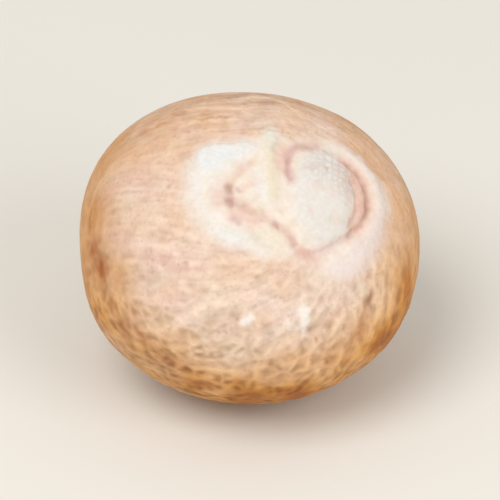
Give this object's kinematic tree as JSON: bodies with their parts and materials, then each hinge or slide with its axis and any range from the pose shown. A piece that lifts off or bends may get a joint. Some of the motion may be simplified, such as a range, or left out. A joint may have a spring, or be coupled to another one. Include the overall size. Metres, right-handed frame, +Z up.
{
  "type": "betel nut",
  "caption": "Dried, husked betel nut: a squat oval seed with a pale creased scar and a veined tan skin, resting on a small flat spot.",
  "frame": {"origin": "centre of the bounding box's base, on the flat spot that the nut rests on", "axes": "+Z up, +X along the nut's greatest width as it lies, -Y towards the side that the scar faces"},
  "size_m": [0.0276, 0.0248, 0.024],
  "materials": {
    "nut": "matt, faintly satin dried seed skin"
  },
  "bodies": {
    "root": {"nut": "nut"}
  },
  "joints": []
}
